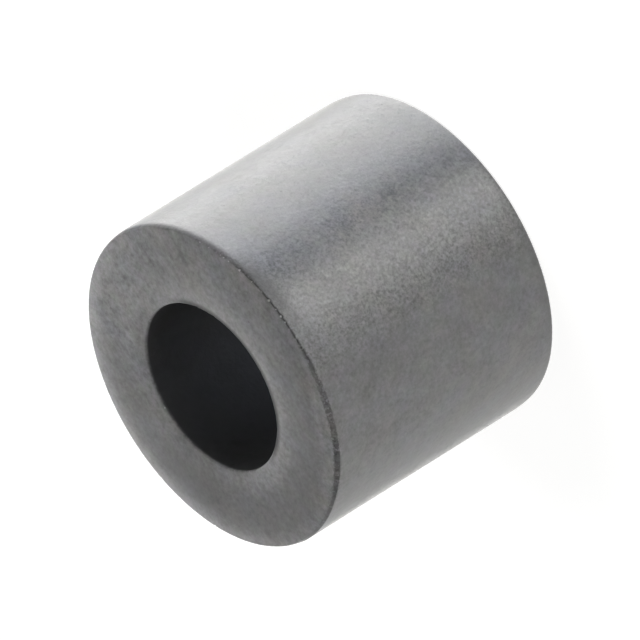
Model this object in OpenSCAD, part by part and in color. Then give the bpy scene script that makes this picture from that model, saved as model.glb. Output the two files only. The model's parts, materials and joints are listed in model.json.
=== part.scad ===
// Ferrite sleeve: a plain ring cylinder with a through bore, pressed and fired as one piece.
// It stands on its end: +Z runs along the axis, the origin is the middle of the lower end.
// All lengths are in millimetres.

/* [Sleeve] */
// Outside diameter
outer_d = 9.5; // [7:0.1:16]
// Diameter of the bore that runs right through
bore_d = 4.95; // [2:0.05:7.2]
// Length along the axis, between the flat lands of the two ends
length = 8.1; // [2:0.1:30]

/* [Ends] */
// Radius of the broken outer edge at each end
rim_radius = 0.08; // [0.04:0.01:0.3]
// Radius of the rounded edge where the bore comes out at each end
mouth_radius = 0.05; // [0.03:0.01:0.3]
// Width of the band inside the outer edge that falls away from the flat land
rim_fall = 0.9; // [0.5:0.05:1.2]
// Width of the band round the bore that falls away from the flat land
mouth_fall = 0.6; // [0.4:0.05:1.2]
// Radius of the shallow arc that both bands follow
crown_radius = 8; // [5:0.5:30]

/* [Hidden] */
$fn = 160;
outer_r = outer_d / 2;
bore_r = bore_d / 2;
wall = outer_r - bore_r;

// The two falling bands never meet: a tenth of the wall or more stays as flat land between them.
most_fall = wall * 0.45;
land_outer_r = outer_r - min(rim_fall, most_fall);
land_inner_r = bore_r + min(mouth_fall, most_fall);

// Arcs are drawn a little large, so that each cuts what it runs into instead of grazing it:
// a crown arc cuts the land, and an edge radius cuts both the crown arc and the wall.
crown_spare = 0.0001;
edge_spare = 2 * crown_spare;
// How far the cutting shapes stand out past the wall, and how deep the crowned zone of an end is.
cut_spare = 1;

// Centres of the crown arcs and edge radii at the upper end, in the half section (radius, height).
outer_crown = [land_outer_r, length - crown_radius];
inner_crown = [land_inner_r, length - crown_radius];
rim = inside_crown(outer_crown, outer_r - rim_radius, rim_radius);
mouth = inside_crown(inner_crown, bore_r + mouth_radius, mouth_radius);

// Centre of an edge radius that touches its crown arc from inside, at a given distance from the axis.
function inside_crown(crown, edge_x, edge_radius) =
    [edge_x, crown[1] + sqrt(pow(crown_radius - edge_radius, 2) - pow(edge_x - crown[0], 2))];

// A point outside the wall, on the line from the crown arc's centre through the edge radius's centre.
function outside(crown, edge) = edge + cut_spare * (edge - crown) / norm(edge - crown);

// The same point at the lower end, which is the upper end turned over.
function turned_over(point) = [point[0], length - point[1]];

// A round of the section: a disc about a given centre.
module disc(centre, radius) {
    translate(centre) circle(r = radius);
}

// Draws a shape of the upper end, and again at the lower end.
module both_ends() {
    children();
    translate([0, length]) mirror([0, 1]) children();
}

// What lies below the upper end's flat land and the two shallow arcs beside it.
module below_upper_crown() {
    translate([bore_r - cut_spare, -cut_spare]) square([wall + 2 * cut_spare, length]);
    translate([land_inner_r, 0]) square([land_outer_r - land_inner_r, length + cut_spare]);
    disc(inner_crown, crown_radius + crown_spare);
    disc(outer_crown, crown_radius + crown_spare);
}

// A cross whose inner corners are the centres of the edge radii, with a disc on each.
module within_edge_radii() {
    upper_arms = [
        [bore_r - cut_spare, mouth[1]], mouth, outside(inner_crown, mouth),
        outside(outer_crown, rim), rim, [outer_r + cut_spare, rim[1]]
    ];
    lower_arms = [for (i = [len(upper_arms) - 1 : -1 : 0]) turned_over(upper_arms[i])];
    polygon(concat(upper_arms, lower_arms));
    both_ends() {
        disc(mouth, mouth_radius + edge_spare);
        disc(rim, rim_radius + edge_spare);
    }
}

// Half section of the wall: a rectangle with crowned ends and rounded corners.
module wall_section() {
    intersection() {
        translate([bore_r, 0]) square([wall, length]);
        below_upper_crown();
        translate([0, length]) mirror([0, 1]) below_upper_crown();
        within_edge_radii();
    }
}

// The whole sleeve, one fired piece.
module ferrite_sleeve() {
    color([0.13, 0.13, 0.135]) rotate_extrude() wall_section();
}

ferrite_sleeve();
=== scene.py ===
"""Looks of the ferrite sleeve: its fired surface with worn edges, on a pale floor in soft studio light.

The sleeve stands on its end, +Z along the bore. Lengths are written in millimetres and turned to metres
where Blender needs them. Angles are in degrees. Azimuth runs from the viewer's side (-Y) towards +X.
"""

import json
import math
import random
from types import SimpleNamespace

import bpy
from mathutils import Matrix, Vector, noise


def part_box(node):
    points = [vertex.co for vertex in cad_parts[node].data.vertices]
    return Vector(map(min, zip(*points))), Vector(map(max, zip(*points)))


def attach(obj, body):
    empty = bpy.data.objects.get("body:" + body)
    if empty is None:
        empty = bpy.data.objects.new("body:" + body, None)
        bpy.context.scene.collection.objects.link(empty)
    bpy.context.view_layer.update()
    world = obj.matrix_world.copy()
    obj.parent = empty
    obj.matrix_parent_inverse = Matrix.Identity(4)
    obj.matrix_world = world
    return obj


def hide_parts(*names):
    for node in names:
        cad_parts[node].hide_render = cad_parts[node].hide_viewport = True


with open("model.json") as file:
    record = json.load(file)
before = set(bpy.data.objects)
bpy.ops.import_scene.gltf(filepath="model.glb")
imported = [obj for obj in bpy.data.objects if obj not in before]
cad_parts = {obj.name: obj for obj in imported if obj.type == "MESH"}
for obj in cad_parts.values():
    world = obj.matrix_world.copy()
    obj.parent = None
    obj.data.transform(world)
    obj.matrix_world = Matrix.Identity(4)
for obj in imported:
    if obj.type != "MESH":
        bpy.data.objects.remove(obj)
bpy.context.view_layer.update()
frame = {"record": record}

MM = 0.001
NODE = "ferrite_sleeve"

# Sizes of the sleeve, from the frame
node_low, node_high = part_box(NODE)
LENGTH = (node_high[2] - node_low[2]) / MM
OUTER_R = min(node_high[0], node_high[1], -node_low[0], -node_low[1]) / MM
BORE_R = next(m for m in frame["record"]["mounts"] if m["name"] == "bore")["dims"]["r_mm"]

# Form of the ends, as in the part's source
MOUTH_RADIUS = 0.05
RIM_FALL = 0.9
MOUTH_FALL = 0.6
CROWN_RADIUS = 8.0

# The worn rims: how far across the end and how far down the wall each reaches, and its shape from 1, round,
# to 2, flat
LOWER_RIM = (0.05, 0.45, 1.0)
# The upper one changes on its way round: azimuth, then the same three values; the last place is the first
# one again, a full turn on
UPPER_RIM = (
    (-102.0, 0.05, 0.2, 1.0),
    (-88.0, 0.05, 0.04, 2.0),
    (-68.0, 0.055, 0.055, 2.0),
    (-48.0, 0.095, 0.12, 2.0),
    (-20.0, 0.11, 0.11, 2.0),
    (2.0, 0.035, 0.07, 1.0),
    (18.0, 0.035, 0.07, 1.0),
    (40.0, 0.05, 0.45, 1.0),
    (172.0, 0.09, 0.45, 1.0),
    (247.0, 0.05, 0.45, 1.0),
    (258.0, 0.05, 0.2, 1.0),
)

# Crumbled edges: how deep and fine the grit is, and the small chips' number, half widths and depths
GRIT_DEPTH = 0.005
GRIT_PER_MM = 12.0
CHIPS_PER_EDGE = 40
CHIP_WIDTHS = (0.02, 0.05)
CHIP_DEPTHS = (0.004, 0.016)
CHIP_SEED = 7
# Chips that stand out along the upper rim: half width, depth, and the azimuths where they are
SPECKS = (
    (0.045, 0.03, (28.2, 14.0, 7.5)),
    (0.03, 0.019, (46.5, 42.3, 37.0, 35.5, 33.2, 22.4, 10.3, 5.2)),
    (0.024, 0.014, (44.1, 39.0, 31.2, 17.8)),
)

# Fineness of the mesh
ROUND_STEPS = 1080
EDGE_STEPS = 8
FALL_STEPS = 6
WALL_STEPS = 7

# The fired ferrite: its colour, as in the record, and its gloss
FERRITE_COLOUR = frame["record"]["materials"][0]["base_color"]
FERRITE_ROUGHNESS = 0.4
FERRITE_IOR = 1.8

# Zones of the surface: between which heights of its normal a wall turns into an end, between which shares of
# that turn the outer wall's own looks fade out, the share of the radius within which all belongs to the
# bore, and the depths between which the bore turns dark with painted shade
END_NORMAL = (0.35, 0.85)
WALL_FADE = (0.2, 1.0)
BORE_SHARE = 0.6
BORE_DARK = (0.05, 0.14)

# Noises of the surface: each one's offset, so that no two are alike, its features per millimetre, its detail
# and its roughness
NOISES = {
    "grain": ((0.0, 0.0, 0.0), 1.0, 4.0, 0.9),
    "fine": ((3.0, 50.0, 9.0), 7.0, 2.0, 0.7),
    "sand": ((11.0, 27.0, 5.0), 10.5, 1.0, 0.8),
    "coarse": ((21.0, 8.0, 60.0), 3.5, 1.0, 0.6),
    "swell": ((70.0, 2.0, 31.0), 1.2, 1.0, 0.6),
    "hue": ((40.0, 7.0, 3.0), 0.9, 2.0, 0.6),
    "olive": ((6.0, 33.0, 14.0), 2.4, 2.0, 0.6),
}
# Mottling of the ends, drawn out along rings: the radius of the circle that each ring takes in the noise,
# how far apart the axis and the rim lie in it, its detail and its roughness
MOTTLE_CIRCLE = 5.0
MOTTLE_REACH = 14.0
MOTTLE_DETAIL = 2.0
MOTTLE_ROUGHNESS = 0.7
# Pits, at most one to a cell: the cells per millimetre, the lots between which a cell's pit grows from none
# to a full one, and the inner and outer radius of its slope in cells
PIT_CELLS_PER_MM = 2.0
PIT_LOTS = (0.62, 0.95)
PIT_RADII = (0.02, 0.08)

# Tones as shares of the colour: the land of an end, and what +X and the viewer's side are paler by, a
# paleness that is painted light
LAND_TONE = 0.91
PAINTED_SIDE_LIGHT = 0.27
PAINTED_FRONT_LIGHT = 0.08
# The paler rings of an end, painted highlights over its sloping borders: between which shares of the radius
# each fades, its tone, and how the outer one changes towards +X and +Y
MOUTH_RING = (0.54, 0.74)
MOUTH_RING_HIGHLIGHT = 0.33
RIM_RING = (0.86, 1.0)
RIM_RING_HIGHLIGHT = 0.38
RIM_RING_HIGHLIGHT_CHANGE = (-0.12, 0.14)
# Paler and darker arcs of the ends: between which azimuths each fades in and out, between which shares of
# the radius it fades in, and its tone
ARCS = (
    ((-72.0, -55.0), (-26.0, -10.0), (0.83, 0.91), 0.32),
    ((72.0, 95.0), (128.0, 152.0), (0.59, 0.68), 0.27),
    ((-112.0, -95.0), (-60.0, -40.0), (0.7, 0.6), 0.24),
    ((98.0, 112.0), (126.0, 142.0), (0.64, 0.56), -0.24),
    ((-175.0, -158.0), (-142.0, -122.0), (0.92, 0.82), -0.17),
)
# The bore's painted shade, the chips' paleness, which is a painted glint, and between which cuts one shows,
# and the darkest that all of it together may get
BORE_PAINTED_SHADE = -0.8
CHIP_PAINTED_GLINT = 2.2
CHIP_CUTS = (0.006, 0.018)
DARKEST_TONE = 0.05

# What the noises and pits do to the tone: the grain on the walls and in the bore, and its share on the ends;
# the fine and the coarse noise, and their share on the ends; the ends' mottling; the pits
GRAIN_TONE = 2.2
BORE_GRAIN_TONE = 0.8
END_GRAIN = 0.5
FINE_TONE = 1.6
COARSE_TONE = 0.4
END_FINE = 0.9
MOTTLE_TONE = 0.35
PIT_TONE = -0.5
# What two of them do to red, green and blue
HUE_TINT = (-0.13, 0.0, 0.29)
OLIVE_TINT = (-0.1, 0.2, -0.14)
# What they and the bore do to the roughness
GRAIN_ROUGHNESS = 0.3
FINE_ROUGHNESS = 0.3
PIT_ROUGHNESS = 0.2
BORE_ROUGHNESS = 0.25
# The fine relief: its depth, the other noises and the pits as shares of the fine noise, the share of it all
# that the ends keep, and what the bore takes away
RELIEF_DEPTH = 0.009
SWELL_HEIGHT = 1.0
COARSE_HEIGHT = 0.4
PIT_HEIGHT = -0.3
END_RELIEF = 0.3
BORE_RELIEF = -0.3

# Matt lip of the mouth on the viewer's side, darkened with painted shade: its depth and the share of that
# where it starts to fade, between which shares of the radius along Y it fades, its darkness and its added
# roughness
LIP_DEPTH = 0.125
LIP_CORE = 0.1
LIP_FRONT = (-0.28, -0.04)
LIP_PAINTED_SHADE = -0.95
LIP_ROUGHNESS = 0.3
# Dull band below the upper rim: between which drops it fades away, between which azimuths it fades in and
# out, and its added roughness
DULL_DROPS = (0.08, 0.3)
DULL_IN = (12.0, 38.0)
DULL_OUT = (100.0, 130.0)
DULL_ROUGHNESS = 0.4
# Darker, rougher patch of the wall below the upper rim, whose darkness is painted shade where the highlight
# fades: the same, and its tone
SHADE_PATCH_DROPS = (0.2, 0.85)
SHADE_PATCH_IN = (-20.0, 22.0)
SHADE_PATCH_OUT = (22.0, 38.0)
SHADE_PATCH_ROUGHNESS = 0.14
SHADE_PATCH_TONE = -0.8
# Grainier stretch of the wall, where the highlight falls: between which azimuths it fades in and out, and
# how much more grain it has in its colour, which stands for the highlight's glints: painted light
GLINT_GRAIN_IN = (-24.0, 2.0)
GLINT_GRAIN_OUT = (8.0, 54.0)
GLINT_GRAIN_TONE = 5.0
# Gritty dark band along the upper rim: between which azimuths it fades in and out, how far down the wall and
# across the end it reaches, first and later, and between which azimuths that changes
RIM_BAND_IN = (-80.0, -52.0)
RIM_BAND_OUT = (-6.0, 42.0)
RIM_BAND_DROPS = (0.19, 0.12)
RIM_BAND_INSETS = (0.13, 0.06)
RIM_BAND_TURN = (-25.0, -5.0)
# Its border: how ragged it is down the wall and across the end, and the shares of the reach where it fades
DROP_RAGGEDNESS = 0.5
INSET_RAGGEDNESS = 0.4
RIM_BAND_BORDER = (0.9, 1.1)
# Its tone: the sand's share of its unevenness, its darkness, how uneven that is, its pale grains, which are
# painted glints, and the heights of the sand between which they show
RIM_BAND_SAND = 0.5
RIM_BAND_TONE = -0.6
RIM_BAND_CONTRAST = 6.0
RIM_BAND_PAINTED_GLINTS = 1.3
PALE_SAND = (0.1, 0.2)
# Darker foot of the wall: between which heights it fades away, and its tone
FOOT_HEIGHTS = (0.1, 0.4)
FOOT_TONE = -0.4
# Small dark marks on the wall: azimuth, height, half width, half height, darkness
MARKS = (
    (48.2, 1.9, 0.06, 0.06, 0.5),
    (40.0, 3.34, 0.05, 0.05, 0.5),
    (51.8, 2.06, 0.04, 0.04, 0.4),
    (-33.8, 1.86, 0.18, 0.12, 0.2),
    (-39.2, 1.58, 0.14, 0.16, 0.25),
    (-12.5, 7.28, 0.04, 0.1, 0.35),
)
# The share of a mark's half width within which it is at its darkest
MARK_CORE = 0.3

# The photograph's view: from above the upper end, with the axis lying across the picture; then its distance,
# its width at the sleeve, the nearest and farthest that it shows, and the width of the camera's sensor
VIEW_ELEVATION = 32.72
AXIS_ANGLE_IN_PICTURE = 211.77
VIEW_DISTANCE = 672.0
VIEW_WIDTH = 16.95
VIEW_CLIP = (10.0, 20000.0)
SENSOR_WIDTH = 36.0

# The studio that the gloss shows: white up to the horizon, dark above it
HORIZON = 8.0
HORIZON_EDGE = 8.0
LOW_WHITE = (1.2, 1.2, 1.18)
HIGH_DIM = 0.08
# A black card: azimuth, elevation, half width, half height, soft edge across, soft edge up and down
CARD = (43.8, -25.0, 14.1, 45.0, 3.0, 10.0)
# Soft panels: the same six values, then the strength and the tint
PANELS = {
    "side": ((97.7, -33.0, 41.8, 27.0, 16.1, 12.0), 3.28, (1.0, 1.0, 1.0)),
    "edge": ((62.0, -33.0, 20.0, 22.0, 12.0, 12.0), 0.38, (0.05, 0.35, 1.0)),
    "strip": ((17.3, -33.0, 11.6, 15.0, 20.0, 8.0), 5.35, (1.0, 1.0, 0.98)),
    "left": ((179.3, -33.0, 18.2, 20.0, 8.0, 10.0), 2.1, (1.02, 1.01, 0.95)),
    "back": ((180.0, 7.9, 17.2, 5.0, 17.2, 5.0), 9.9, (1.0, 1.0, 1.0)),
}
# Large soft lamps that light the sleeve evenly and don't show in its gloss: azimuth, elevation, light given
LAMPS = {
    "lamp_right": (95.0, 52.0, 0.5),
    "lamp_left": (-50.0, 50.0, 0.46),
}
LAMP_COLOUR = (1.0, 0.99, 0.945)
LAMP_DISTANCE = 400.0
LAMP_SIZE = 320.0
# The floor: half its size, its colour, and what is added to the eye's view of it
FLOOR_REACH = 4000.0
FLOOR_COLOUR = (0.4, 0.4, 0.4, 1.0)
FLOOR_LIFT = 0.8
# The floor under the bore: how far below the sleeve it lies, the degrees between its corners, and its glow,
# painted light that the gloss in the bore shows
BORE_FLOOR_DROP = 0.02
BORE_FLOOR_STEP = 5
BORE_FLOOR_PAINTED_GLOW = (1.3, 1.4, 1.6, 1.0)


def smooth_step(x):
    """Eases from 0 at 0 to 1 at 1."""
    x = min(max(x, 0.0), 1.0)
    return x * x * (3 - 2 * x)


def direction(azimuth, elevation=0.0):
    """Unit vector towards an azimuth and elevation."""
    turn, rise = math.radians(azimuth), math.radians(elevation)
    return Vector((math.sin(turn) * math.cos(rise), -math.cos(turn) * math.cos(rise), math.sin(rise)))


def angle_between(a, b):
    """Size of the angle between two azimuths."""
    return abs((a - b + 180) % 360 - 180)


def even(start, end, steps):
    """Evenly spaced values from start to end, both included."""
    return [start + (end - start) * i / steps for i in range(steps + 1)]


def graded(steps):
    """Shares of the way along a stretch, close together at its start and ever wider apart, end included."""
    return [(2 ** i - 1) / (2 ** steps - 1) for i in range(1, steps + 1)]


def quarter(wall_r, fall, width, drop, flatness=1.0):
    """One wall's part of the upper half section: from half the length up, over the edge and on to the land.

    The edge reaches a width across the end and a drop down the wall. It is a quarter of an ellipse, or a
    slanting line where the flatness is 2. A fall above 0 leads inward from an outer wall, one below 0
    outward from the bore. Each point is (distance from the axis, height, depth below the tip of the edge,
    measured slantwise into the wall).
    """
    side = math.copysign(1, fall)
    crown_z = LENGTH - CROWN_RADIUS
    last = math.atan2(drop, width * (abs(fall) - width) / CROWN_RADIUS)
    edge = []
    for angle in even(0.0, last, EDGE_STEPS):
        edge.append((width * (1 - math.cos(angle) ** flatness), drop * math.sin(angle) ** flatness))
    start = math.acos((abs(fall) - edge[-1][0]) / CROWN_RADIUS)
    edge_z = crown_z + CROWN_RADIUS * math.sin(start) - edge[-1][1]
    points = [(0.0, edge_z - (edge_z - LENGTH / 2) * share) for share in reversed(graded(WALL_STEPS))]
    points += [(inward, edge_z + rise) for inward, rise in edge]
    for share in graded(FALL_STEPS):
        angle = start + (math.pi / 2 - start) * share
        points.append((abs(fall) - CROWN_RADIUS * math.cos(angle), crown_z + CROWN_RADIUS * math.sin(angle)))
    depths = [(inward + LENGTH - z) / math.sqrt(2) for inward, z in points]
    tip = min(depths)
    return [(wall_r - side * inward, z, depth - tip) for (inward, z), depth in zip(points, depths)]


def upper_rim_at(azimuth):
    """The reaches and the shape of the upper rim at one place along it."""
    turned = (azimuth - UPPER_RIM[0][0]) % 360 + UPPER_RIM[0][0]
    for (start, *before), (end, *after) in zip(UPPER_RIM, UPPER_RIM[1:]):
        if turned <= end:
            share = smooth_step((turned - start) / (end - start))
            return [a + (b - a) * share for a, b in zip(before, after)]


def chips(draw):
    """Small chips all along one edge: azimuth, half width and depth; few of them are large."""
    made = []
    for _ in range(CHIPS_PER_EDGE):
        size = draw.random() ** 3
        width, depth = (low + (high - low) * size for low, high in (CHIP_WIDTHS, CHIP_DEPTHS))
        made.append((draw.uniform(-180, 180), width, depth))
    return made


def wear_depth(azimuth, edge_r, edge_chips):
    """How deep an edge is worn away at one place along it."""
    place = direction(azimuth) * edge_r * GRIT_PER_MM
    depth = GRIT_DEPTH * max(noise.noise(place), 0.0)
    for chip_azimuth, width, chip_depth in edge_chips:
        away = math.radians(angle_between(azimuth, chip_azimuth)) * edge_r / width
        depth = max(depth, chip_depth * (1 - away ** 2))
    return depth


def worn(points, depth, inward):
    """Cuts an edge back by a slanting plane of the given depth; adds how much of each point was cut."""
    cut = [max(depth - below, 0.0) for _, _, below in points]
    step = 1 / math.sqrt(2)
    return [(r + inward * c * step, z - c * step, below, c) for (r, z, below), c in zip(points, cut)]


def section_at(azimuth, rim_chips, mouth_chips):
    """The closed section at one azimuth: over the upper end to the bore, and back over the lower end.

    The lower half is turned over and leaves out the two points at half the length, which the upper one has.
    """
    loop = []
    for end, rim in enumerate((upper_rim_at(azimuth), LOWER_RIM)):
        outer = quarter(OUTER_R, RIM_FALL, *rim)
        inner = quarter(BORE_R, -MOUTH_FALL, MOUTH_RADIUS, MOUTH_RADIUS)
        half = worn(outer, wear_depth(azimuth, OUTER_R, rim_chips[end]), -1)
        half += reversed(worn(inner, wear_depth(azimuth, BORE_R, mouth_chips[end]), 1))
        if end == 1:
            half = [(r, LENGTH - z, below, cut) for r, z, below, cut in half[-2:0:-1]]
        loop += half
    return loop


def ring_faces(rows):
    """Faces between neighbouring sections of so many points each, all the way round."""
    faces = []
    for step in range(ROUND_STEPS):
        here = step * rows
        there = (step + 1) % ROUND_STEPS * rows
        for row in range(rows):
            after = (row + 1) % rows
            faces.append((here + row, there + row, there + after, here + after))
    return faces


def sleeve_mesh():
    """Turns the section round the axis, with worn edges at both ends.

    Each point keeps its depth below the tip of its edge and how much was cut away there, for the material.
    """
    draw = random.Random(CHIP_SEED)
    specks = [(azimuth, width, depth) for width, depth, azimuths in SPECKS for azimuth in azimuths]
    rim_chips = [specks + chips(draw), chips(draw)]
    mouth_chips = [chips(draw), chips(draw)]
    verts = []
    depths = []
    cuts = []
    for step in range(ROUND_STEPS):
        azimuth = 360 * step / ROUND_STEPS
        outward = direction(azimuth)
        loop = section_at(azimuth, rim_chips, mouth_chips)
        for r, z, below, cut in loop:
            verts.append((outward * r + Vector((0, 0, z))) * MM)
            depths.append(below)
            cuts.append(cut)
    mesh = bpy.data.meshes.new("sleeve")
    mesh.from_pydata(verts, [], ring_faces(len(loop)))
    mesh.attributes.new("below", "FLOAT", "POINT").data.foreach_set("value", depths)
    mesh.attributes.new("cut", "FLOAT", "POINT").data.foreach_set("value", cuts)
    mesh.shade_smooth()
    return mesh


def add_node(tree, kind, inputs=None, **settings):
    """Adds a node; inputs maps a socket's name or number to a value or to another node's output."""
    made = tree.nodes.new(kind)
    for name, value in settings.items():
        setattr(made, name, value)
    for name, value in (inputs or {}).items():
        if isinstance(value, bpy.types.NodeSocket):
            tree.links.new(value, made.inputs[name])
        else:
            made.inputs[name].default_value = value
    return made


def calculate(tree, operation, *values):
    """Adds a Math node and returns its output."""
    return add_node(tree, "ShaderNodeMath", dict(enumerate(values)), operation=operation).outputs[0]


def multiply(tree, product, *others):
    """Adds Math nodes that multiply values; returns the last output."""
    for other in others:
        product = calculate(tree, "MULTIPLY", product, other)
    return product


def add_up(tree, total, *terms):
    """Adds Math nodes that add terms to a total, each a value and its weight; returns the last output."""
    for value, weight in terms:
        total = calculate(tree, "MULTIPLY_ADD", value, weight, total)
    return total


def vector(tree, operation, *values):
    """Adds a Vector Math node and returns its output, a number for a dot product or a length."""
    made = add_node(tree, "ShaderNodeVectorMath", dict(enumerate(values)), operation=operation)
    return made.outputs["Value" if operation in ("DOT_PRODUCT", "LENGTH") else "Vector"]


def ease(tree, value, start, end, low=0.0, high=1.0):
    """Adds a smooth change from low to high as the value goes from start to end."""
    inputs = {"Value": value, "From Min": start, "From Max": end, "To Min": low, "To Max": high}
    return add_node(tree, "ShaderNodeMapRange", inputs, interpolation_type="SMOOTHSTEP").outputs[0]


def cloud(tree, place, per_mm, detail, roughness):
    """Adds a noise about 0, with a given number of features per millimetre."""
    inputs = {"Vector": place, "Scale": per_mm, "Detail": detail, "Roughness": roughness}
    made = add_node(tree, "ShaderNodeTexNoise", inputs)
    return calculate(tree, "SUBTRACT", made.outputs[0], 0.5)


def stretch(tree, around, fade_in, fade_out):
    """Share of a stretch of the way round that fades in and out between two pairs of azimuths."""
    start = ease(tree, around, *map(math.radians, fade_in))
    end = ease(tree, around, *map(math.radians, fade_out), 1.0, 0.0)
    return multiply(tree, start, end)


def surface_place(tree):
    """Where a point of the sleeve lies, with its normal and what the mesh keeps for the material.

    x, y and out, the distance from the axis, are shares of the radius. z and drop, the distance below the
    upper end, are millimetres. around, the azimuth, is in radians.
    """
    at = SimpleNamespace()
    coords = add_node(tree, "ShaderNodeTexCoord")
    scaled = {0: coords.outputs["Object"], "Scale": 1 / MM}
    at.place = add_node(tree, "ShaderNodeVectorMath", scaled, operation="SCALE").outputs[0]
    x, y, at.z = add_node(tree, "ShaderNodeSeparateXYZ", {0: at.place}).outputs
    at.x = calculate(tree, "DIVIDE", x, OUTER_R)
    at.y = calculate(tree, "DIVIDE", y, OUTER_R)
    at.out = vector(tree, "LENGTH", vector(tree, "MULTIPLY", at.place, (1 / OUTER_R, 1 / OUTER_R, 0.0)))
    at.around = calculate(tree, "ARCTAN2", x, calculate(tree, "MULTIPLY", y, -1.0))
    at.drop = calculate(tree, "SUBTRACT", LENGTH, at.z)
    at.normal_z = add_node(tree, "ShaderNodeSeparateXYZ", {0: coords.outputs["Normal"]}).outputs["Z"]
    at.below = add_node(tree, "ShaderNodeAttribute", attribute_name="below").outputs["Fac"]
    at.cut = add_node(tree, "ShaderNodeAttribute", attribute_name="cut").outputs["Fac"]
    return at


def mouth_lip(tree, at, inner):
    """Lip of the mouth on the viewer's side, darkened with painted shade."""
    lip = ease(tree, at.below, LIP_CORE * LIP_DEPTH, LIP_DEPTH, 1.0, 0.0)
    front = ease(tree, at.y, *LIP_FRONT, 1.0, 0.0)
    return multiply(tree, lip, front, inner)


def pits(tree, place):
    """Small pits, scattered with one to a cell in some of the cells."""
    cells = add_node(tree, "ShaderNodeTexVoronoi", {"Vector": place, "Scale": PIT_CELLS_PER_MM})
    lot = add_node(tree, "ShaderNodeSeparateColor", {0: cells.outputs["Color"]}).outputs[0]
    hollow = ease(tree, cells.outputs["Distance"], *PIT_RADII, 1.0, 0.0)
    return multiply(tree, hollow, ease(tree, lot, *PIT_LOTS))


def surface_zones(tree, at):
    """A point's share of each zone of the surface: 1 inside, 0 outside."""
    zone = SimpleNamespace()
    zone.end = ease(tree, calculate(tree, "ABSOLUTE", at.normal_z), *END_NORMAL)
    inner = calculate(tree, "LESS_THAN", at.out, BORE_SHARE)
    from_middle = calculate(tree, "ABSOLUTE", calculate(tree, "SUBTRACT", at.z, LENGTH / 2))
    deep = ease(tree, from_middle, *(LENGTH / 2 - depth for depth in BORE_DARK))
    zone.bore = multiply(tree, deep, inner)
    zone.lip = mouth_lip(tree, at, inner)
    outer_wall = calculate(tree, "SUBTRACT", ease(tree, zone.end, *WALL_FADE, 1.0, 0.0), inner)
    zone.outer_wall = calculate(tree, "MAXIMUM", outer_wall, 0.0)
    dull = ease(tree, at.drop, *DULL_DROPS, 1.0, 0.0)
    zone.dull = multiply(tree, dull, zone.outer_wall, stretch(tree, at.around, DULL_IN, DULL_OUT))
    patch = ease(tree, at.drop, *SHADE_PATCH_DROPS, 1.0, 0.0)
    zone.patch = multiply(tree, patch, zone.outer_wall, stretch(tree, at.around, SHADE_PATCH_IN, SHADE_PATCH_OUT))
    # Chips, which are real wear; their paler colour is a painted glint
    zone.chipped = ease(tree, at.cut, *CHIP_CUTS)
    zone.pit = pits(tree, at.place)
    return zone


def end_mottle(tree, at):
    """Mottling of the ends, drawn out along rings."""
    turned = vector(tree, "NORMALIZE", vector(tree, "MULTIPLY", at.place, (1.0, 1.0, 0.0)))
    reach = calculate(tree, "MULTIPLY", at.out, MOTTLE_REACH)
    outward = add_node(tree, "ShaderNodeCombineXYZ", {"Z": reach}).outputs[0]
    place = vector(tree, "MULTIPLY_ADD", turned, (MOTTLE_CIRCLE, MOTTLE_CIRCLE, 0.0), outward)
    return cloud(tree, place, 1.0, MOTTLE_DETAIL, MOTTLE_ROUGHNESS)


def surface_noises(tree, at):
    """The noises of the surface by name."""
    noises = SimpleNamespace(mottle=end_mottle(tree, at))
    for name, (offset, *values) in NOISES.items():
        setattr(noises, name, cloud(tree, vector(tree, "ADD", at.place, offset), *values))
    return noises


def end_tone(tree, at):
    """Tone of an end: a darker land between paler rings, with soft arcs."""
    # Painted light: the end is made paler towards +X and towards the viewer's side
    tone = add_up(tree, LAND_TONE, (at.x, PAINTED_SIDE_LIGHT), (at.y, -PAINTED_FRONT_LIGHT))
    # Painted highlights: paler rings over the end's sloping borders, the outer one changing towards +X and
    # +Y
    tone = calculate(tree, "ADD", tone, ease(tree, at.out, *MOUTH_RING, MOUTH_RING_HIGHLIGHT, 0.0))
    ring = add_up(tree, RIM_RING_HIGHLIGHT, *zip((at.x, at.y), RIM_RING_HIGHLIGHT_CHANGE))
    tone = add_up(tree, tone, (ring, ease(tree, at.out, *RIM_RING)))
    for fade_in, fade_out, reach, arc_tone in ARCS:
        arc = stretch(tree, at.around, fade_in, fade_out)
        tone = add_up(tree, tone, (arc, ease(tree, at.out, *reach, 0.0, arc_tone)))
    return tone


def dark_rim_band(tree, at, noises):
    """Tone of the gritty dark band at the top of the wall and along the upper rim, with a rough border."""
    inset = calculate(tree, "MULTIPLY_ADD", at.out, -OUTER_R, OUTER_R)
    uneven = add_up(tree, noises.fine, (noises.sand, RIM_BAND_SAND))
    turn = [math.radians(azimuth) for azimuth in RIM_BAND_TURN]
    band = stretch(tree, at.around, RIM_BAND_IN, RIM_BAND_OUT)
    borders = ((at.drop, RIM_BAND_DROPS, DROP_RAGGEDNESS), (inset, RIM_BAND_INSETS, INSET_RAGGEDNESS))
    for away, reaches, raggedness in borders:
        ragged = add_up(tree, away, (uneven, raggedness))
        per_reach = ease(tree, at.around, *turn, *(1 / reach for reach in reaches))
        near = ease(tree, multiply(tree, ragged, per_reach), *RIM_BAND_BORDER, 1.0, 0.0)
        band = multiply(tree, band, near)
    grit = add_up(tree, RIM_BAND_TONE, (uneven, RIM_BAND_CONTRAST * RIM_BAND_TONE))
    # Pale grains in the band: painted glints
    grit = calculate(tree, "ADD", grit, ease(tree, noises.sand, *PALE_SAND, 0.0, RIM_BAND_PAINTED_GLINTS))
    return multiply(tree, band, grit)


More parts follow.
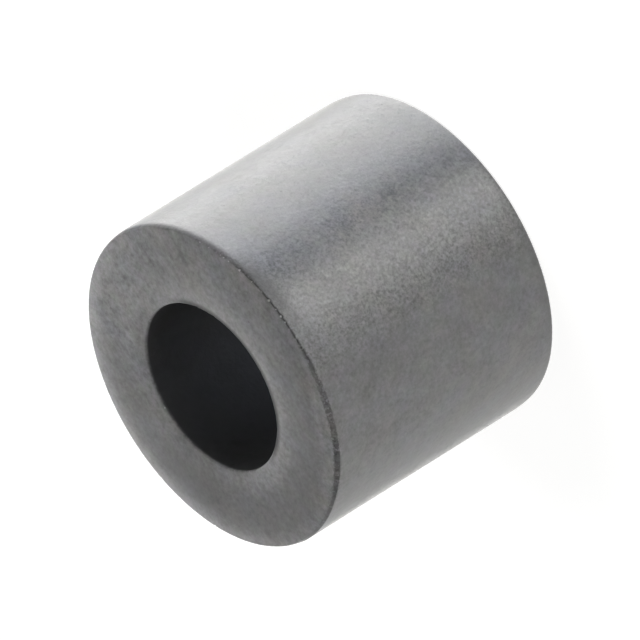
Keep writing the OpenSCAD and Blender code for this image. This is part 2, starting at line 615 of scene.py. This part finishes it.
def wall_marks(tree, at):
    """Sum of the small dark marks on the wall."""
    along = calculate(tree, "MULTIPLY", at.around, OUTER_R)
    spread = add_node(tree, "ShaderNodeCombineXYZ", {"X": along, "Y": at.z}).outputs[0]
    total = 0.0
    for azimuth, height, half_width, half_height, darkness in MARKS:
        middle = (math.radians(azimuth) * OUTER_R, height, 0.0)
        away = vector(tree, "SUBTRACT", spread, middle)
        away = vector(tree, "MULTIPLY", away, (1 / half_width, 1 / half_height, 0.0))
        mark = ease(tree, vector(tree, "LENGTH", away), MARK_CORE, 1.0, darkness, 0.0)
        total = calculate(tree, "ADD", mark, total)
    return total


def surface_tone(tree, at, zone, noises):
    """Tone of each zone, 1 on the plain wall, still without its speckle."""
    tone = calculate(tree, "SUBTRACT", end_tone(tree, at), 1.0)
    tone = add_up(tree, 1.0, (tone, zone.end))
    # Painted shade: the bore darkened with depth, and the mouth's lip on the viewer's side
    tone = add_up(tree, tone, (zone.bore, BORE_PAINTED_SHADE), (zone.lip, LIP_PAINTED_SHADE))
    tone = calculate(tree, "ADD", tone, dark_rim_band(tree, at, noises))
    foot = ease(tree, at.z, *FOOT_HEIGHTS, FOOT_TONE, 0.0)
    # Painted shade on the patch below the upper rim; the wall's darker foot; the chips' paleness, a painted
    # glint
    return add_up(tree, tone, (zone.patch, SHADE_PATCH_TONE), (zone.outer_wall, foot), (zone.chipped, CHIP_PAINTED_GLINT))


def surface_speckle(tree, at, zone, noises):
    """Speckle of the tone, about 1: noises at several scales, pits and marks."""
    grain_share = ease(tree, zone.end, 0.0, 1.0, 1.0, END_GRAIN)
    fine_share = ease(tree, zone.end, 0.0, 1.0, 1.0, END_FINE)
    strength = ease(tree, zone.bore, 0.0, 1.0, GRAIN_TONE, BORE_GRAIN_TONE)
    # Real grain, made stronger in the colour where the highlight falls to stand for its glints: painted
    # light
    glint_grain = stretch(tree, at.around, GLINT_GRAIN_IN, GLINT_GRAIN_OUT)
    speckle = add_up(
        tree,
        calculate(tree, "ADD", multiply(tree, noises.grain, strength, grain_share), 1.0),
        (multiply(tree, noises.fine, fine_share), FINE_TONE),
        (multiply(tree, glint_grain, zone.outer_wall, noises.sand), GLINT_GRAIN_TONE),
        (multiply(tree, noises.mottle, zone.end), MOTTLE_TONE),
        (multiply(tree, noises.coarse, fine_share), COARSE_TONE),
        (zone.pit, PIT_TONE),
    )
    return calculate(tree, "SUBTRACT", speckle, wall_marks(tree, at))


def surface_colour(tree, tone, noises):
    """The ferrite's colour in a tone, with a faint play of tints."""
    tint = vector(tree, "MULTIPLY_ADD", noises.hue, HUE_TINT, (1.0, 1.0, 1.0))
    tint = vector(tree, "MULTIPLY_ADD", noises.olive, OLIVE_TINT, tint)
    return vector(tree, "MULTIPLY", vector(tree, "MULTIPLY", tint, FERRITE_COLOUR), tone)


def surface_roughness(tree, zone, noises):
    """Roughness of the surface, uneven and higher in the dull zones."""
    return add_up(
        tree,
        FERRITE_ROUGHNESS,
        (noises.grain, GRAIN_ROUGHNESS),
        (noises.fine, FINE_ROUGHNESS),
        (zone.pit, PIT_ROUGHNESS),
        (zone.bore, BORE_ROUGHNESS),
        (zone.lip, LIP_ROUGHNESS),
        (zone.dull, DULL_ROUGHNESS),
        (zone.patch, SHADE_PATCH_ROUGHNESS),
    )


def surface_normal(tree, zone, noises):
    """Normal of the fine relief, which is weaker on the ends and in the bore."""
    height = add_up(
        tree,
        noises.fine,
        (noises.swell, SWELL_HEIGHT),
        (noises.coarse, COARSE_HEIGHT),
        (zone.pit, PIT_HEIGHT),
    )
    relief = add_up(tree, ease(tree, zone.end, 0.0, 1.0, 1.0, END_RELIEF), (zone.bore, BORE_RELIEF))
    inputs = {"Height": multiply(tree, height, relief), "Strength": 1.0, "Distance": RELIEF_DEPTH * MM}
    return add_node(tree, "ShaderNodeBump", inputs).outputs[0]


def ferrite_material():
    """Dark grey fired ferrite: grain at all scales, pits and marks, toned ends, a dark gritty rim, pale
    chips.
    """
    material = bpy.data.materials.new("ferrite")
    material.use_nodes = True
    tree = material.node_tree
    shader = tree.nodes["Principled BSDF"]
    shader.inputs["IOR"].default_value = FERRITE_IOR
    at = surface_place(tree)
    zone = surface_zones(tree, at)
    noises = surface_noises(tree, at)
    tone = multiply(tree, surface_tone(tree, at, zone, noises), surface_speckle(tree, at, zone, noises))
    tone = calculate(tree, "MAXIMUM", tone, DARKEST_TONE)
    tree.links.new(surface_colour(tree, tone, noises), shader.inputs["Base Color"])
    tree.links.new(surface_roughness(tree, zone, noises), shader.inputs["Roughness"])
    tree.links.new(surface_normal(tree, zone, noises), shader.inputs["Normal"])
    return material


def make_sleeve():
    """The sleeve's visible piece."""
    piece = bpy.data.objects.new("sleeve", sleeve_mesh())
    piece.data.materials.append(ferrite_material())
    bpy.context.scene.collection.objects.link(piece)
    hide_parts(NODE)
    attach(piece, "root")


def floor_material():
    """Pale and matt, with a lift that only the eye sees."""
    material = bpy.data.materials.new("floor")
    material.use_nodes = True
    tree = material.node_tree
    tree.nodes.clear()
    pale = add_node(tree, "ShaderNodeBsdfDiffuse", {"Color": FLOOR_COLOUR})
    path = add_node(tree, "ShaderNodeLightPath")
    lift = add_node(tree, "ShaderNodeEmission", {"Strength": FLOOR_LIFT})
    seen = add_node(tree, "ShaderNodeMixShader", {0: path.outputs["Is Camera Ray"], 2: lift.outputs[0]})
    both = add_node(tree, "ShaderNodeAddShader", {0: pale.outputs[0], 1: seen.outputs[0]})
    add_node(tree, "ShaderNodeOutputMaterial", {"Surface": both.outputs[0]})
    return material


def make_floor():
    """A pale floor, white to the eye, that takes the sleeve's shadow; the gloss sees the studio instead."""
    reach = FLOOR_REACH * MM
    mesh = bpy.data.meshes.new("floor")
    corners = [(-reach, -reach, 0), (reach, -reach, 0), (reach, reach, 0), (-reach, reach, 0)]
    mesh.from_pydata(corners, [], [(0, 1, 2, 3)])
    mesh.materials.append(floor_material())
    floor = bpy.data.objects.new("floor", mesh)
    floor.visible_glossy = False
    bpy.context.scene.collection.objects.link(floor)


def bore_floor_material():
    """The floor's colour, with a glow, painted light that the gloss in the bore shows."""
    material = bpy.data.materials.new("bore_floor")
    material.use_nodes = True
    shader = material.node_tree.nodes["Principled BSDF"]
    shader.inputs["Base Color"].default_value = FLOOR_COLOUR
    shader.inputs["Roughness"].default_value = 1.0
    shader.inputs["Emission Color"].default_value = BORE_FLOOR_PAINTED_GLOW
    shader.inputs["Emission Strength"].default_value = 1.0
    return material


def make_bore_floor():
    """The floor at the foot of the bore, which the gloss there does see; the sleeve covers its edge."""
    radius = (OUTER_R + BORE_R) / 2
    foot = Vector((0, 0, -BORE_FLOOR_DROP))
    ring = [(direction(azimuth) * radius + foot) * MM for azimuth in range(0, 360, BORE_FLOOR_STEP)]
    mesh = bpy.data.meshes.new("bore_floor")
    mesh.from_pydata(ring, [], [tuple(range(len(ring)))])
    mesh.materials.append(bore_floor_material())
    floor = bpy.data.objects.new("bore_floor", mesh)
    bpy.context.scene.collection.objects.link(floor)


def window(tree, flat, level, panel):
    """Adds a soft-edged window in azimuth and elevation: 1 inside, 0 outside."""
    azimuth, elevation, half_width, half_height, edge_across, edge_up = panel
    along = vector(tree, "DOT_PRODUCT", flat, direction(azimuth))
    across = calculate(tree, "ARCCOSINE", along)
    above = calculate(tree, "ABSOLUTE", calculate(tree, "SUBTRACT", level, math.radians(elevation)))
    shares = []
    for angle, half, edge in ((across, half_width, edge_across), (above, half_height, edge_up)):
        shares.append(ease(tree, angle, math.radians(half - edge), math.radians(half + edge), 1.0, 0.0))
    return multiply(tree, *shares)


def studio_light(tree):
    """Light of the studio from each direction: white low down, dark above, a black card, soft panels."""
    way = add_node(tree, "ShaderNodeTexCoord").outputs["Generated"]
    level = calculate(tree, "ARCSINE", add_node(tree, "ShaderNodeSeparateXYZ", {0: way}).outputs["Z"])
    flat = vector(tree, "NORMALIZE", vector(tree, "MULTIPLY", way, (1, 1, 0)))
    start, end = math.radians(HORIZON - HORIZON_EDGE), math.radians(HORIZON + HORIZON_EDGE)
    uncovered = calculate(tree, "SUBTRACT", 1.0, window(tree, flat, level, CARD))
    below = multiply(tree, ease(tree, level, start, end, 1.0, 0.0), uncovered)
    above = ease(tree, level, start, end, 0.0, HIGH_DIM)
    light = vector(tree, "MULTIPLY_ADD", below, LOW_WHITE, above)
    for panel, strength, tint in PANELS.values():
        colour = [strength * part for part in tint]
        light = vector(tree, "MULTIPLY_ADD", window(tree, flat, level, panel), colour, light)
    return light


def make_world():
    """The studio round the sleeve, which the gloss shows; the eye sees white."""
    world = bpy.data.worlds.new("studio")
    world.use_nodes = True
    world.cycles.sampling_method = "NONE"
    bpy.context.scene.world = world
    tree = world.node_tree
    tree.nodes.clear()
    studio = add_node(tree, "ShaderNodeBackground", {"Color": studio_light(tree)})
    white = add_node(tree, "ShaderNodeBackground", {"Color": (1, 1, 1, 1)})
    path = add_node(tree, "ShaderNodeLightPath")
    mixed = {0: path.outputs["Is Camera Ray"], 1: studio.outputs[0], 2: white.outputs[0]}
    seen = add_node(tree, "ShaderNodeMixShader", mixed)
    add_node(tree, "ShaderNodeOutputWorld", {"Surface": seen.outputs[0]})


def make_lamps():
    """Large soft lamps for the even light, each as strong as its distance asks for."""
    for name, (azimuth, elevation, light) in LAMPS.items():
        data = bpy.data.lights.new(name, "AREA")
        data.shape = "DISK"
        data.size = LAMP_SIZE * MM
        data.energy = light * (math.pi * LAMP_DISTANCE * MM) ** 2
        data.color = LAMP_COLOUR
        lamp = bpy.data.objects.new(name, data)
        away = direction(azimuth, elevation)
        lamp.location = away * LAMP_DISTANCE * MM
        lamp.rotation_euler = (-away).to_track_quat("-Z", "Y").to_euler()
        lamp.visible_camera = False
        lamp.visible_glossy = False
        bpy.context.scene.collection.objects.link(lamp)


def make_camera():
    """A long lens, rolled so that the axis lies in the picture as it does in the photograph."""
    data = bpy.data.cameras.new("camera")
    data.sensor_width = SENSOR_WIDTH
    data.lens = SENSOR_WIDTH * VIEW_DISTANCE / VIEW_WIDTH
    data.clip_start, data.clip_end = (distance * MM for distance in VIEW_CLIP)
    camera = bpy.data.objects.new("camera", data)
    bpy.context.scene.collection.objects.link(camera)
    back = direction(0.0, VIEW_ELEVATION)
    middle = Vector((0, 0, LENGTH / 2))
    upright = (-back).to_track_quat("-Z", "Y").to_matrix().to_4x4()
    roll = Matrix.Rotation(math.radians(90 - AXIS_ANGLE_IN_PICTURE), 4, "Z")
    camera.matrix_world = Matrix.Translation((middle + back * VIEW_DISTANCE) * MM) @ upright @ roll
    bpy.context.scene.camera = camera


make_camera()
make_sleeve()
make_floor()
make_bore_floor()
make_world()
make_lamps()
bpy.context.scene.view_settings.view_transform = "Standard"
